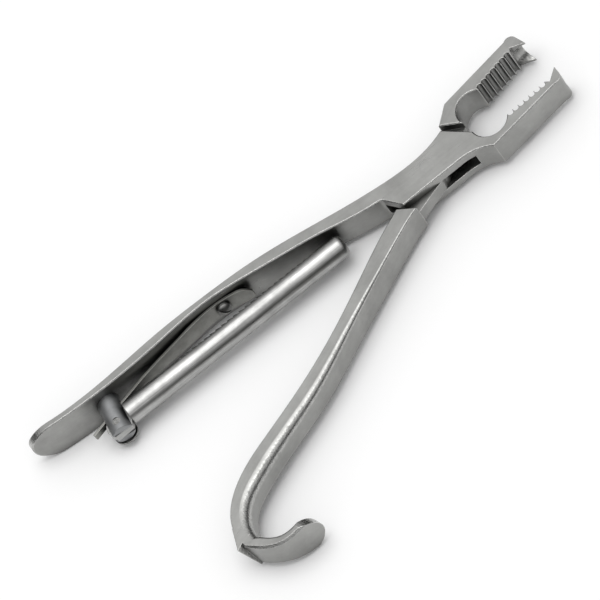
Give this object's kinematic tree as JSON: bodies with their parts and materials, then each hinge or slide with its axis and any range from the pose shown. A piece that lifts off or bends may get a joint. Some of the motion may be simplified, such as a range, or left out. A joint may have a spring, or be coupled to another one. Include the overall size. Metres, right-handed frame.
{
  "type": "bone holding forceps",
  "caption": "Bone holding forceps with a box joint, serrated jaws with a round hollow and spurs, a curved handle with a finger hook, and a folding ratchet bar stowed along the straight handle.",
  "frame": {"origin": "under the middle of the bounding box of the instrument in its open rest pose, on the lowest plane of the curved handle's finger hook", "axes": "+X along the straight arm towards the jaw tips, +Y from the curved handle towards the straight handle in the plane of the arms, +Z through the thickness of the arms, along the pivot pin"},
  "size_m": [0.261, 0.1316, 0.019],
  "materials": {
    "satin_steel": "satin, fine brushed grain with polished edges",
    "polished_steel": "bright polished",
    "blasted_steel": "fine blasted, matte",
    "spring_steel": "satin spring temper",
    "screw_steel": "dark, worn, lightly mottled"
  },
  "bodies": {
    "straight_side": {"straight_arm": "satin_steel", "box_pin": "satin_steel", "ratchet_post": "blasted_steel", "ratchet_screw": "screw_steel", "leaf_spring": "spring_steel", "spring_screw": "screw_steel"},
    "curved_side": {"curved_arm": "satin_steel"},
    "ratchet": {"ratchet_bar": "polished_steel"}
  },
  "joints": [
    {"name": "box_joint", "type": "hinge", "parent": "straight_side", "child": "curved_side", "pos_m": [0.0657, 0.0397, 0.0095], "axis": [0, 0, 1], "range_deg": [-16.8, 14]},
    {"name": "ratchet_pivot", "type": "hinge", "parent": "straight_side", "child": "ratchet", "pos_m": [-0.0962, 0.03737, 0.0095], "axis": [0, 0, 1], "range_deg": [-0.8, 0]}
  ]
}
